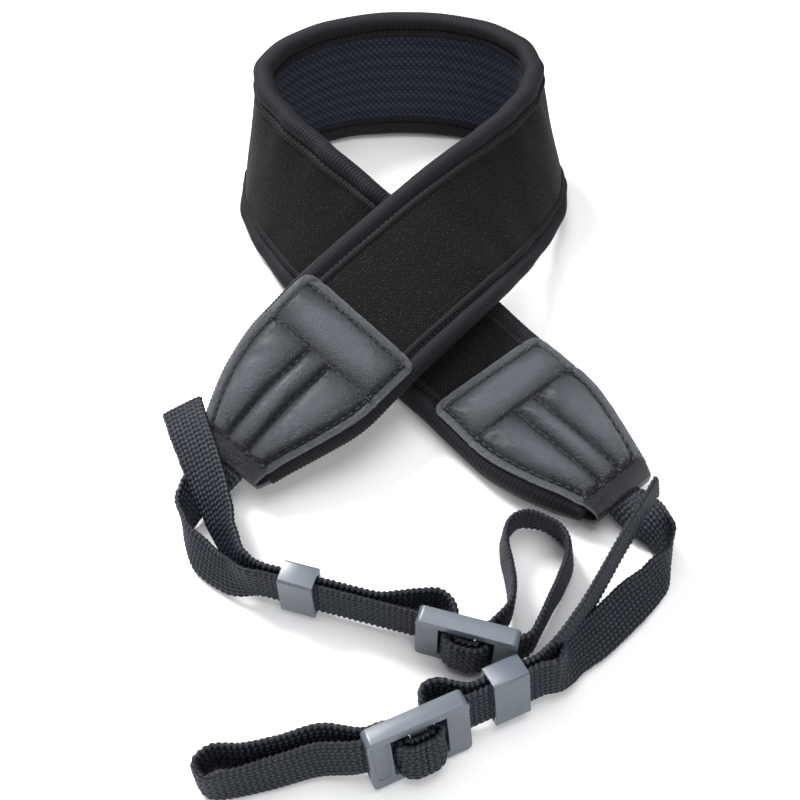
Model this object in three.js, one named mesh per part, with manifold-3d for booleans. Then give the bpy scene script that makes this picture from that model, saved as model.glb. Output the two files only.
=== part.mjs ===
// Padded neck strap with two adjustable webbing tails, lying as it is put down on a table:
// the pad stands on its lower edge in a loop, its two arms cross in front, and the tails lie
// doubled on edge in front of it. Millimetres, +Z up, ground at z = 0.

import * as THREE from 'three';
import { mergeVertices } from 'three/addons/utils/BufferGeometryUtils.js';
import Module from 'manifold-3d';

const wasm = await Module();
wasm.setup();

// Neck pad: a neoprene core between a knit facing and a grip lining, with bound edges.
const PAD_WIDTH = 38;
const LAYOUT_HALF = 19;
const CORE_THICKNESS = 2.6;
const FACE_THICKNESS = 0.5;
const LAYER_GAP = 0.3;
const BINDING_THICKNESS = 0.6;
const BINDING_DEPTH = 5.5;
const BINDING_CORNER = 1.6;
const BINDING_SHOULDER = 0.5;
const BINDING_FOLD = 1.5;
const LAYER_INSET = 1.8;
const PAD_STEPS = 72;

// End tabs: one folded leather piece over each tapered end of the pad.
const TAB_LENGTH = 46;
const TAPER_LENGTH = 30;
const NOSE_WIDTH = 21;
const LEATHER_THICKNESS = 0.9;
const LEATHER_INSET = 1.5;
const CORNER_RADIUS = 3;
const PAD_END = 8;
const SEAM_INSET = 2.4;
const CROSS_SEAM = 32;
const FINGER_SEAM = 3.1;
const FINGER_START = 5.5;
const PANEL_PUFF = 2.2;
const FINGER_PUFF = 1.8;
const FOAM_FILL = 0.85;
const FOAM_MARGIN = 0.7;
const FOAM_START = 2;
const LEATHER_STEPS = [44, 12];
const FOAM_STEPS = [6, 5];

// Webbing tails and their plastic keepers and sliders.
const WEBBING_WIDTH = 10;
const WEBBING_THICKNESS = 1.4;
const WEBBING_STEP = 2.4;
const STRAND_GAP = 0.4;
const SEWN_LENGTH = 6.5;
const RUNNING_GAP = 0.3;
const KEEPER_LENGTH = 7.5;
const KEEPER_WALL = 0.8;
const KEEPER_CORNER = 0.6;
const KEEPER_HOLE_CORNER = 0.3;
const SLIDER_LENGTH = 20.5;
const SLIDER_THICKNESS = 3.6;
const SLIDER_RIM = 1.8;
const SLIDER_CORNER = 1.2;
const WINDOW_CORNER = 0.5;
const CHANNEL_GAP = 0.5;
const WINDOW_LENGTH = 11.4;
const BAR_WIDTH = 3;
const WALL_BACK = -0.2;
const WALL_FRONT = 1.4;
const BAR_FRONT = 1.2;
const WRAP_FOOT = 0.1;
const SLIDER_RISE = 0.2;

const PAD_HALF = PAD_WIDTH / 2;
const LAMINATE_HALF = CORE_THICKNESS / 2 + LAYER_GAP + FACE_THICKNESS;
const BINDING_HALF = LAMINATE_HALF + LAYER_GAP + BINDING_THICKNESS;
const LEATHER_LEVEL = BINDING_HALF + LAYER_GAP;
const STRAND_OFFSET = (WEBBING_THICKNESS + STRAND_GAP) / 2;
const SLIDER_HEIGHT = WEBBING_WIDTH + 2 * (CHANNEL_GAP + SLIDER_RIM);
const SLIDER_SETBACK = STRAND_OFFSET + WEBBING_THICKNESS / 2 + STRAND_GAP - WALL_BACK;

const COLOURS = {
  knit: { color: 0x17181a, roughness: 0.85, metalness: 0 },
  grip: { color: 0x1c2030, roughness: 0.8, metalness: 0 },
  foam: { color: 0x2b2b2d, roughness: 0.95, metalness: 0 },
  leather: { color: 0x2b3036, roughness: 0.45, metalness: 0 },
  webbing: { color: 0x1d1e28, roughness: 0.8, metalness: 0 },
  plastic: { color: 0x2f3a44, roughness: 0.4, metalness: 0 },
};

const layout = new THREE.Group();
const UP = new THREE.Vector3(0, 0, 1);

function addPiece(name, geometry, look) {
  const mesh = new THREE.Mesh(geometry, new THREE.MeshStandardMaterial(COLOURS[look]));
  mesh.name = name;
  layout.add(mesh);
  return mesh;
}

// A strip's route: each station is [x, y, z, lean] on its centreline, and lean is how many degrees
// its width rises from the horizontal on the left-hand side of the direction of travel.
class Route {
  constructor(stations) {
    this.centre = new THREE.CatmullRomCurve3(stations.map(([x, y, z]) => new THREE.Vector3(x, y, z)));
    this.centre.arcLengthDivisions = 2000;
    this.leans = stations.map((station) => station[3]);
    this.length = this.centre.getLength();
  }

  leanAt(t) {
    const place = t * (this.leans.length - 1);
    const index = Math.min(Math.floor(place), this.leans.length - 2);
    const mix = THREE.MathUtils.smoothstep(place - index, 0, 1);
    return THREE.MathUtils.degToRad(THREE.MathUtils.lerp(this.leans[index], this.leans[index + 1], mix));
  }

  frame(distance) {
    const t = this.centre.getUtoTmapping(THREE.MathUtils.clamp(distance / this.length, 0, 1));
    const along = this.centre.getTangent(t);
    const lean = this.leanAt(t);
    const level = new THREE.Vector3().crossVectors(UP, along).normalize();
    const across = level.multiplyScalar(Math.cos(lean)).addScaledVector(UP, Math.sin(lean));
    across.addScaledVector(along, -across.dot(along)).normalize();
    const outward = new THREE.Vector3().crossVectors(along, across);
    return { origin: this.centre.getPoint(t), along, across, outward };
  }

  place(distance, v, n) {
    const { origin, across, outward } = this.frame(distance);
    return origin.addScaledVector(across, v).addScaledVector(outward, n);
  }
}

// Moves every vertex of a geometry to where bend(x, y, z) puts it.
function reshape(geometry, bend) {
  const position = geometry.getAttribute('position');
  const point = new THREE.Vector3();
  for (let i = 0; i < position.count; i += 1) {
    point.fromBufferAttribute(position, i);
    const moved = bend(point.x, point.y, point.z);
    position.setXYZ(i, moved.x, moved.y, moved.z);
  }
  geometry.computeVertexNormals();
  return geometry;
}

// A closed slab between two levels, lying on x from 0 to its length and centred across y. Both
// faces share their diagonals, so slabs bent alike stay apart by the gap they are drawn with.
function slab(length, width, stepsAlong, stepsAcross, low, high) {
  const plane = new THREE.PlaneGeometry(length, width, stepsAlong, stepsAcross);
  const flat = plane.getAttribute('position');
  const count = flat.count;
  const points = new Float32Array(6 * count);
  for (let i = 0; i < count; i += 1) {
    points.set([flat.getX(i) + length / 2, flat.getY(i), high], 3 * i);
    points.set([flat.getX(i) + length / 2, flat.getY(i), low], 3 * (count + i));
  }
  const top = Array.from(plane.getIndex().array);
  const bottom = top.map((corner) => corner + count).reverse();
  const walls = rim(stepsAlong, stepsAcross).flatMap((corner, i, corners) => {
    const next = corners[(i + 1) % corners.length];
    return [corner + count, next + count, next, corner + count, next, corner];
  });
  const geometry = new THREE.BufferGeometry();
  geometry.setAttribute('position', new THREE.BufferAttribute(points, 3));
  geometry.setIndex([...top, ...bottom, ...walls]);
  return geometry;
}

// The border corners of a PlaneGeometry grid, anticlockwise from its lower left.
function rim(stepsAlong, stepsAcross) {
  const row = stepsAlong + 1;
  const corners = [];
  for (let i = 0; i < stepsAlong; i += 1) {
    corners.push(stepsAcross * row + i);
  }
  for (let j = stepsAcross; j > 0; j -= 1) {
    corners.push(j * row + stepsAlong);
  }
  for (let i = stepsAlong; i > 0; i -= 1) {
    corners.push(i);
  }
  for (let j = 0; j < stepsAcross; j += 1) {
    corners.push(j * row);
  }
  return corners;
}

function toSolid(geometry) {
  const bare = geometry.clone();
  bare.deleteAttribute('normal');
  bare.deleteAttribute('uv');
  const merged = mergeVertices(bare, 1e-4);
  const vertProperties = new Float32Array(merged.getAttribute('position').array);
  const triVerts = new Uint32Array(merged.getIndex().array);
  return new wasm.Manifold(new wasm.Mesh({ numProp: 3, vertProperties, triVerts }));
}

function toGeometry(solid) {
  const { vertProperties, triVerts } = solid.getMesh();
  const geometry = new THREE.BufferGeometry();
  geometry.setAttribute('position', new THREE.BufferAttribute(new Float32Array(vertProperties), 3));
  geometry.setIndex(new THREE.BufferAttribute(new Uint32Array(triVerts), 1));
  geometry.computeVertexNormals();
  return geometry;
}

function boxBetween(x0, x1, y0, y1, z0, z1) {
  const box = new THREE.BoxGeometry(x1 - x0, y1 - y0, z1 - z0);
  return box.translate((x0 + x1) / 2, (y0 + y1) / 2, (z0 + z1) / 2);
}

// ---------------------------------------------------------------- neck pad

// From the nose of the upper tab, up the arm that crosses on top, round the back of the neck and
// down the arm underneath to the nose of the other tab. The fifth number of a station is how far
// it rises when the pad's half width grows by one, so that a wider pad still stands and crosses.
const padStations = [
  [-39.5, -25, 6.6, 8, 0],
  [-28, -12.5, 13, 11, 0.5],
  [-18, -2.5, 17.2, 16, 1],
  [-8, 8.5, 20.5, 20, 1.5],
  [2, 19, 22.8, 22, 1.9],
  [11.5, 30, 23.8, 27, 2],
  [20.5, 42, 23.0, 38, 1.7],
  [29, 54.5, 21.4, 50, 1.3],
  [36.5, 67, 20.6, 59, 1.1],
  [41, 80, 20.0, 69, 1],
  [40.5, 93, 19.5, 80, 1],
  [34.5, 104, 19.3, 89, 1],
  [23, 111.5, 19.3, 96, 1],
  [9, 115, 19.3, 99, 1],
  [-5, 115, 19.3, 99, 1],
  [-19.5, 111.5, 19.3, 95, 1],
  [-31.5, 104, 19.3, 91, 1],
  [-39, 93.5, 19.3, 86, 1],
  [-40.5, 81, 19.2, 77, 1],
  [-36.5, 68.5, 18.6, 66, 1],
  [-28.5, 56.5, 17.0, 56, 0.9],
  [-19, 45, 14.8, 45, 0.7],
  [-9, 34.5, 12.2, 33, 0.5],
  [1, 24, 9.2, 17, 0.3],
  [11, 13, 6.8, 7, 0.1],
  [20.5, 2, 5.9, 3, 0],
  [30, -9.5, 5.6, 4, 0],
  [39.5, -21, 5.3, 1, 0],
  [50.3, -33.6, 5.3, 0, 0],
];
const padRoute = new Route(padStations.map(([x, y, z, lean, rise]) => {
  return [x, y, z + rise * (PAD_HALF - LAYOUT_HALF), lean];
}));

// Half of the strip's width at a distance from its nearer nose.
function halfWidth(distance) {
  const taper = THREE.MathUtils.clamp(distance / TAPER_LENGTH, 0, 1);
  const nose = NOSE_WIDTH / 2;
  return nose + (PAD_HALF - nose) * Math.sin((Math.PI / 2) * taper ** 1.2);
}

function endDistance(distance) {
  return Math.min(distance, padRoute.length - distance);
}

// One layer of the pad, which narrows with it and stops short inside the bindings.
function padLayer(low, high) {
  const length = padRoute.length - 2 * PAD_END;
  return reshape(slab(length, 2, PAD_STEPS, 4, low, high), (s, share, n) => {
    const distance = PAD_END + s;
    return padRoute.place(distance, share * (halfWidth(endDistance(distance)) - LAYER_INSET), n);
  });
}

// A folded tape that runs down one edge of the pad, at a constant distance from that edge.
function edgeBinding(side) {
  const outer = BINDING_HALF;
  const inner = BINDING_HALF - BINDING_THICKNESS;
  const profile = [
    [BINDING_DEPTH, inner], [BINDING_DEPTH, outer], [BINDING_CORNER, outer],
    [BINDING_SHOULDER, 0.73 * outer], [0, 0.3 * outer],
    [0, -0.3 * outer], [BINDING_SHOULDER, -0.73 * outer],
    [BINDING_CORNER, -outer], [BINDING_DEPTH, -outer], [BINDING_DEPTH, -inner],
    [BINDING_FOLD, -inner], [BINDING_FOLD, inner],
  ];
  const corners = profile.map(([inset, n]) => new THREE.Vector2(-side * inset, n));
  const depth = padRoute.length - 2 * PAD_END;
  const options = { depth, steps: PAD_STEPS, bevelEnabled: false };
  const tape = new THREE.ExtrudeGeometry(new THREE.Shape(corners), options);
  return reshape(tape, (v, n, s) => {
    const distance = PAD_END + s;
    return padRoute.place(distance, side * halfWidth(endDistance(distance)) + v, n);
  });
}

const coreHalf = CORE_THICKNESS / 2;
const faceLevel = coreHalf + LAYER_GAP;
addPiece('pad_neoprene_core', padLayer(-coreHalf, coreHalf), 'foam');
addPiece('pad_outer_facing', padLayer(faceLevel, LAMINATE_HALF), 'knit');
addPiece('pad_grip_lining', padLayer(-LAMINATE_HALF, -faceLevel), 'grip');
addPiece('upper_edge_binding', edgeBinding(1), 'knit');
addPiece('lower_edge_binding', edgeBinding(-1), 'knit');

// ---------------------------------------------------------------- end tabs

// Turns a place on a tab (distance from its nose, across, outward) into a place in space. The far
// tab is the near one turned half round, so both show the same face.
function placeOnTab(end, d, v, n) {
  return end === 'left' ? padRoute.place(d, v, n) : padRoute.place(padRoute.length - d, -v, n);
}

function leatherHalf(d) {
  const fromCorner = CORNER_RADIUS - THREE.MathUtils.clamp(TAB_LENGTH - d, 0, CORNER_RADIUS);
  const rounded = CORNER_RADIUS - Math.sqrt(CORNER_RADIUS ** 2 - fromCorner ** 2);
  return halfWidth(d) - LEATHER_INSET - rounded;
}

function swell(value, low, high) {
  const share = THREE.MathUtils.clamp((value - low) / (high - low), 0, 1);
  return Math.sin(Math.PI * share) ** 0.8;
}

// How far the quilted front stands above its seams.
function puff(d, v) {
  const seam = leatherHalf(d) - SEAM_INSET;
  const outer = Math.abs(v);
  if (d > CROSS_SEAM) {
    return PANEL_PUFF * swell(d, CROSS_SEAM, TAB_LENGTH - SEAM_INSET) * swell(v, -seam, seam) ** 0.5;
  }
  const ends = swell(d, FINGER_START, CROSS_SEAM) ** 0.4;
  const low = outer > FINGER_SEAM ? FINGER_SEAM : -FINGER_SEAM;
  const high = outer > FINGER_SEAM ? seam : FINGER_SEAM;
  return FINGER_PUFF * ends * swell(outer > FINGER_SEAM ? outer : v, low, high);
}

// Columns of the leather grid, so that edges, seams and the middle fall on grid lines.
function leatherColumn(share, edge) {
  const column = Math.abs(share) * 6;
  const seam = edge - SEAM_INSET;
  if (column <= 1) {
    return Math.sign(share) * FINGER_SEAM * column;
  }
  if (column <= 5) {
    return Math.sign(share) * THREE.MathUtils.lerp(FINGER_SEAM, seam, (column - 1) / 4);
  }
  return Math.sign(share) * THREE.MathUtils.lerp(seam, edge, column - 5);
}

// One leather piece: the back panel, the fold round the nose, and the quilted front panel.
function foldedLeather(end) {
  const middle = LEATHER_LEVEL + LEATHER_THICKNESS / 2;
  const flat = TAB_LENGTH - middle;
  const arc = Math.PI * middle;
  const length = 2 * flat + arc;
  const sheet = slab(length, 2, ...LEATHER_STEPS, -LEATHER_THICKNESS / 2, LEATHER_THICKNESS / 2);
  const folded = reshape(sheet, (travel, share, thick) => {
    const turn = THREE.MathUtils.clamp((travel - flat) / middle, 0, Math.PI);
    const radius = middle + thick;
    const straight = travel < flat ? flat - travel : Math.max(travel - flat - arc, 0);
    const d = middle + straight - radius * Math.sin(turn);
    const v = leatherColumn(share, leatherHalf(Math.max(d, 0)));
    const raise = travel > flat + arc ? puff(d, v) : 0;
    return new THREE.Vector3(d, v, -radius * Math.cos(turn) + raise);
  });
  const slotHalf = WEBBING_WIDTH / 2 + RUNNING_GAP;
  const slotLevel = WEBBING_THICKNESS / 2 + RUNNING_GAP;
  const slot = boxBetween(-1, middle, -slotHalf, slotHalf, -slotLevel, slotLevel);
  const cut = toSolid(folded).subtract(toSolid(slot));
  return reshape(toGeometry(cut), (d, v, n) => placeOnTab(end, d, v, n));
}

// A foam pad fills the space between the pad's face and the leather over it.
function foamInsert(end, dLow, dHigh, vLow, vHigh) {
  return reshape(slab(1, 1, ...FOAM_STEPS, 0, 1), (x, y, z) => {
    const d = THREE.MathUtils.lerp(dLow, dHigh, x);
    const v = THREE.MathUtils.lerp(vLow(d), vHigh(d), y + 0.5);
    const top = LEATHER_LEVEL + FOAM_FILL * puff(d, v) - LAYER_GAP;
    const bottom = LAMINATE_HALF + LAYER_GAP;
    return placeOnTab(end, d, v, z > 0.5 ? top : bottom);
  });
}

function addTab(end) {
  const edge = (d) => halfWidth(d) - BINDING_DEPTH - LAYER_GAP;
  const farEdge = (d) => -edge(d);
  const beside = () => FINGER_SEAM + FOAM_MARGIN;
  const farBeside = () => -FINGER_SEAM - FOAM_MARGIN;
  const within = () => FINGER_SEAM - FOAM_MARGIN;
  const farWithin = () => FOAM_MARGIN - FINGER_SEAM;
  const start = PAD_END + FOAM_START;
  const stop = CROSS_SEAM - FOAM_MARGIN;
  const restart = CROSS_SEAM + FOAM_MARGIN;
  const last = TAB_LENGTH - SEAM_INSET - FOAM_MARGIN;
  const name = `${end}_tab`;
  addPiece(`${name}_leather`, foldedLeather(end), 'leather');
  addPiece(`${name}_panel_foam`, foamInsert(end, restart, last, farEdge, edge), 'foam');
  addPiece(`${name}_upper_finger_foam`, foamInsert(end, start, stop, beside, edge), 'foam');
  addPiece(`${name}_middle_finger_foam`, foamInsert(end, start, stop, farWithin, within), 'foam');
  addPiece(`${name}_lower_finger_foam`, foamInsert(end, start, stop, farEdge, farBeside), 'foam');
}

addTab('left');
addTab('right');

// ---------------------------------------------------------------- tails

// Where a doubled strap lies dead straight: through its slider, heading from the keeper onwards.
const STRAPS = {
  left: { x: 13.9, y: -67.4, z: 7.3, heading: -16, lean: 90, keeperAt: -36, front: 1 },
  right: { x: 2.5, y: -87.6, z: 7.6, heading: 204, lean: 104, keeperAt: -19.8, front: -1 },
};

// A station on a doubled strap: so far along it, and so far to the left of its middle.
function strapStation(strap, along, left) {
  const turn = THREE.MathUtils.degToRad(strap.heading);
  const x = strap.x + along * Math.cos(turn) - left * Math.sin(turn);
  const y = strap.y + along * Math.sin(turn) + left * Math.cos(turn);
  return [x, y, strap.z, strap.lean];
}

function sewnStations(end) {
  const lean = end === 'left' ? 172 : 0;
  return [SEWN_LENGTH, SEWN_LENGTH / 2, 0.5].map((d) => {
    const { x, y, z } = placeOnTab(end, d, 0, 0);
    return [x, y, z, lean];
  });
}

// The strand that comes from the tab runs in front of the one that ends free, and the free one is
// travelled backwards, so its lean is measured from the other side.
function outward(strap, along, back) {
  return strapStation(strap, along, strap.front * back);
}

function homeward(strap, along, back) {
  const [x, y, z, lean] = strapStation(strap, along, strap.front * back);
  return [x, y, z, 180 - lean];
}

const leftRoute = new Route([
  ...sewnStations('left'),
  [-43.8, -29.8, 6.0, 156],
  [-47.0, -35.0, 5.6, 116],
  [-46.8, -42.0, 5.2, 84],
  [-42.6, -48.4, 5.1, 66],
  [-37.0, -53.0, 5.6, 70],
  outward(STRAPS.left, -46.5, -STRAND_OFFSET - 0.3),
  outward(STRAPS.left, -44, -STRAND_OFFSET),
  outward(STRAPS.left, -41.5, -STRAND_OFFSET),
  outward(STRAPS.left, -34, -STRAND_OFFSET),
  outward(STRAPS.left, -12, -STRAND_OFFSET),
  outward(STRAPS.left, 2, -STRAND_OFFSET),
  outward(STRAPS.left, 8.5, -STRAND_OFFSET),
  [25.8, -69.6, 7.0, 90],
  [28.4, -65.4, 6.6, 90],
  [31.2, -60.0, 6.0, 88],
  [34.2, -54.4, 5.5, 84],
  [36.4, -48.6, 5.3, 80],
  [35.9, -43.6, 5.3, 76],
  [31.9, -40.0, 5.3, 74],
  [26.9, -38.9, 5.3, 78],
  [23.4, -42.0, 5.3, 86],
  [22.6, -47.0, 5.3, 90],
  [23.2, -52.0, 5.4, 90],
  [23.4, -57.4, 5.9, 90],
  [22.2, -62.6, 6.6, 90],
  homeward(STRAPS.left, 4.2, 1.6),
  homeward(STRAPS.left, 1.0, STRAND_OFFSET),
  homeward(STRAPS.left, -2.4, 1.8),
  homeward(STRAPS.left, -4.6, 4.3),
  homeward(STRAPS.left, -7.6, 5.2),
  homeward(STRAPS.left, -11.4, 4.2),
  homeward(STRAPS.left, -15.2, 2.6),
  homeward(STRAPS.left, -18.4, 1.3),
  homeward(STRAPS.left, -21, STRAND_OFFSET),
  homeward(STRAPS.left, -24, STRAND_OFFSET),
  homeward(STRAPS.left, -34, STRAND_OFFSET),
  homeward(STRAPS.left, -41.5, STRAND_OFFSET),
  homeward(STRAPS.left, -44, STRAND_OFFSET),
  homeward(STRAPS.left, -46.5, STRAND_OFFSET + 0.4),
  [-33.4, -51.6, 7.6, 100],
  [-37.0, -46.0, 8.4, 114],
  [-39.6, -39.6, 9.6, 130],
  [-42.4, -32.8, 11.4, 142],
  [-45.4, -25.8, 13.2, 152],
  [-48.4, -18.8, 14.2, 158],
  [-50.2, -14.0, 14.4, 162],
]);

const rightRoute = new Route([
  ...sewnStations('right'),
  [53.6, -38.0, 5.5, 34],
  [57.0, -42.8, 5.5, 66],
  [57.8, -48.0, 5.4, 98],
  [54.2, -53.8, 4.9, 124],
  [47.6, -59.8, 4.5, 138],
  [41.0, -66.0, 4.6, 136],
  [34.4, -71.8, 5.8, 124],
  outward(STRAPS.right, -30.5, -STRAND_OFFSET - 0.5),
  outward(STRAPS.right, -27.5, -STRAND_OFFSET),
  outward(STRAPS.right, -25, -STRAND_OFFSET),
  outward(STRAPS.right, -19, -STRAND_OFFSET),
  outward(STRAPS.right, -6, -STRAND_OFFSET),
  outward(STRAPS.right, 6, -STRAND_OFFSET),
  outward(STRAPS.right, 12, -STRAND_OFFSET + 0.6),
  [-15.2, -92.6, 6.2, 104],
  [-22.8, -94.6, 5.6, 102],
  [-30.4, -96.6, 5.4, 98],
  [-35.6, -97.2, 5.3, 92],
  [-37.6, -94.2, 5.3, 90],
  [-35.0, -91.7, 5.3, 88],
  [-29.4, -91.9, 5.4, 82],
  [-22.4, -90.9, 5.8, 78],
  [-14.8, -89.1, 6.6, 76],
  homeward(STRAPS.right, 9, STRAND_OFFSET + 0.3),
  homeward(STRAPS.right, 4, STRAND_OFFSET),
  homeward(STRAPS.right, 0.6, 1.2),
  homeward(STRAPS.right, -1.4, 3.2),
  homeward(STRAPS.right, -3.6, 5.2),
  homeward(STRAPS.right, -7.2, 4.6),
  homeward(STRAPS.right, -10.4, 2.4),
  homeward(STRAPS.right, -12.6, 1.1),
  homeward(STRAPS.right, -14.6, STRAND_OFFSET),
  homeward(STRAPS.right, -19, STRAND_OFFSET),
  homeward(STRAPS.right, -25, STRAND_OFFSET),
  homeward(STRAPS.right, -27, STRAND_OFFSET),
  homeward(STRAPS.right, -29.5, STRAND_OFFSET + 0.7),
  [33.0, -69.4, 8.6, 82],
  [37.6, -63.2, 9.6, 84],
  [42.0, -56.6, 11.2, 84],
  [46.4, -50.0, 13.4, 85],
  [50.8, -43.8, 15.8, 86],
  [54.4, -38.6, 17.8, 86],
]);

function webbing(route) {
  const steps = Math.round(route.length / WEBBING_STEP);
  const half = WEBBING_THICKNESS / 2;
  const ribbon = slab(route.length, WEBBING_WIDTH, steps, 1, -half, half);
  return reshape(ribbon, (x, y, z) => route.place(x, y, z));
}

addPiece('left_webbing', webbing(leftRoute), 'webbing');
addPiece('right_webbing', webbing(rightRoute), 'webbing');

// ---------------------------------------------------------------- keepers and sliders

// Their own x runs along the strap, y across it, and z out of the side that faces front.
function roundedRectangle(width, height, radius) {
  const x = width / 2;
  const y = height / 2;
  const shape = new THREE.Shape();
  shape.moveTo(-x + radius, -y);
  shape.lineTo(x - radius, -y);
  shape.absarc(x - radius, -y + radius, radius, -Math.PI / 2, 0);
  shape.lineTo(x, y - radius);
  shape.absarc(x - radius, y - radius, radius, 0, Math.PI / 2);
  shape.lineTo(-x + radius, y);
  shape.absarc(-x + radius, y - radius, radius, Math.PI / 2, Math.PI);
  shape.lineTo(-x, -y + radius);
  shape.absarc(-x + radius, -y + radius, radius, Math.PI, 1.5 * Math.PI);
  return shape;
}

function keeper() {
  const holeWidth = WEBBING_WIDTH + 2 * RUNNING_GAP;
  const holeDepth = 2 * WEBBING_THICKNESS + STRAND_GAP + 2 * RUNNING_GAP;
  const outer = [holeDepth + 2 * KEEPER_WALL, holeWidth + 2 * KEEPER_WALL];
  const outline = roundedRectangle(...outer, KEEPER_CORNER);
  outline.holes.push(roundedRectangle(holeDepth, holeWidth, KEEPER_HOLE_CORNER));
  const options = { depth: KEEPER_LENGTH, steps: 1, bevelEnabled: false, curveSegments: 3 };
  const ring = new THREE.ExtrudeGeometry(outline, options);
  ring.translate(0, 0, -KEEPER_LENGTH / 2);
  return ring.rotateY(Math.PI / 2);
}

function slider() {
  const outline = roundedRectangle(SLIDER_LENGTH, SLIDER_HEIGHT, SLIDER_CORNER);
  const inside = SLIDER_HEIGHT / 2 - SLIDER_RIM;
  outline.holes.push(roundedRectangle(WINDOW_LENGTH, 2 * inside, WINDOW_CORNER));
  const options = { depth: SLIDER_THICKNESS, steps: 1, bevelEnabled: false, curveSegments: 4 };
  const plate = new THREE.ExtrudeGeometry(outline, options);
  plate.translate(0, 0, -SLIDER_THICKNESS / 2);
  const reach = SLIDER_LENGTH;
  const half = SLIDER_THICKNESS;
  const behind = boxBetween(-reach, reach, -inside, inside, -half, WALL_BACK);
  const face = boxBetween(-reach, reach, -SLIDER_HEIGHT, inside, WALL_FRONT, half);
  const bar = boxBetween(-BAR_WIDTH / 2, BAR_WIDTH / 2, -inside - 1, inside + 1, WALL_BACK, BAR_FRONT);
  const frame = toSolid(plate).subtract(toSolid(behind)).subtract(toSolid(face));
  return toGeometry(frame.add(toSolid(bar)));
}

// The doubled webbing where it arches over the slider's bar.
function barWrap() {
  const length = WINDOW_LENGTH - 2 * RUNNING_GAP;
  const doubled = 2 * WEBBING_THICKNESS + STRAND_GAP;
  return reshape(slab(length, WEBBING_WIDTH, 14, 1, 0, 1), (x, y, z) => {
    const rise = Math.sin((Math.PI * x) / length) ** 2;
    const under = WRAP_FOOT + (BAR_FRONT + RUNNING_GAP - WRAP_FOOT) * rise ** 0.4;
    const over = under + THREE.MathUtils.lerp(WEBBING_THICKNESS, doubled, rise ** 0.5);
    return new THREE.Vector3(x - length / 2, y - SLIDER_RISE, z > 0.5 ? over : under);
  });
}

// Stands a piece on a strap, with its own axes turned to the strap's.
function mount(mesh, strap, along, forward, rise) {
  const [x, y, z, lean] = outward(strap, along, -forward);
  const turn = THREE.MathUtils.degToRad(strap.heading);
  const tilt = THREE.MathUtils.degToRad(lean);
  const direction = new THREE.Vector3(Math.cos(turn), Math.sin(turn), 0);
  const level = new THREE.Vector3().crossVectors(UP, direction);
  const across = level.multiplyScalar(Math.cos(tilt)).addScaledVector(UP, Math.sin(tilt));
  const facing = new THREE.Vector3().crossVectors(direction, across);
  direction.multiplyScalar(strap.front);
  facing.multiplyScalar(strap.front);
  const basis = new THREE.Matrix4().makeBasis(direction, across, facing);
  mesh.quaternion.setFromRotationMatrix(basis);
  mesh.position.set(x, y, z).addScaledVector(across, rise);
}

for (const [end, strap] of Object.entries(STRAPS)) {
  mount(addPiece(`${end}_keeper`, keeper(), 'plastic'), strap, strap.keeperAt, 0, 0);
  mount(addPiece(`${end}_slider`, slider(), 'plastic'), strap, 0, SLIDER_SETBACK, SLIDER_RISE);
  mount(addPiece(`${end}_bar_wrap`, barWrap(), 'webbing'), strap, 0, SLIDER_SETBACK, SLIDER_RISE);
}

// The origin is the bottom centre of the whole strap as it lies.
const extent = new THREE.Box3().setFromObject(layout, true);
const centre = extent.getCenter(new THREE.Vector3());
layout.position.set(-centre.x, -centre.y, -extent.min.z);

const group = new THREE.Group();
group.add(layout);

export default group;
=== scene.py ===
"""Looks for a padded neck strap that lies crossed on a table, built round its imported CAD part.

The pad is a bent strip: a place on it is (distance along, across, outward), and each tail is a
strip of webbing along its own route. Lengths are millimetres here and become metres in a mesh.
"""

import math

import bmesh
import bpy
import numpy as np
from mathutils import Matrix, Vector


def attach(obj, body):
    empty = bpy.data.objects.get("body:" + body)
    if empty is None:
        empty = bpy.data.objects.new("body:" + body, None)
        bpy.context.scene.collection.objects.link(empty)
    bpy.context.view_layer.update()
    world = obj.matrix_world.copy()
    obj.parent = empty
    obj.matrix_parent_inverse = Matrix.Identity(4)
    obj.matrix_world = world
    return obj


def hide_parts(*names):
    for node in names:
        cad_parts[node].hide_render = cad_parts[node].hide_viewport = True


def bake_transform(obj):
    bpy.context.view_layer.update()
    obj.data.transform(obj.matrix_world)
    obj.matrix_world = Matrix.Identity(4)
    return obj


MM = 0.001
UP = np.array([0.0, 0.0, 1.0])

# The layout is drawn about the crossing; the frame's origin is the bottom centre of the strap.
SHIFT = np.array([-2.3908, -11.3599, -0.0760])

# Neck pad
PAD_WIDTH = 38.0
PAD_HALF = PAD_WIDTH / 2
TAPER_LENGTH = 30.0
TAPER_BULGE = 1.2
NOSE_WIDTH = 21.0
PAD_END = 8.0
BINDING_END = 3.2
BINDING_STITCH = {"pitch": 1.6, "length": 1.25, "thread": 0.16}
ROLL_INSET = 2.35
ROLL_HALF_THICKNESS = 2.8
RIB_PITCH = 0.95
RIB_HEIGHT = 0.2
BEAD_INSETS = (5.0, 6.15)
GROOVE_INSET = 4.72
GROOVE_LEVEL = 2.0
DRIFT_PLACES = np.arange(0, 420, 6)
FACE_INSET = 5.6
FACE_LEVEL = 2.15
FACE_CROWN = 0.45
GRID_PITCH = 1.9
GRID_HEIGHT = 0.28

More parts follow.
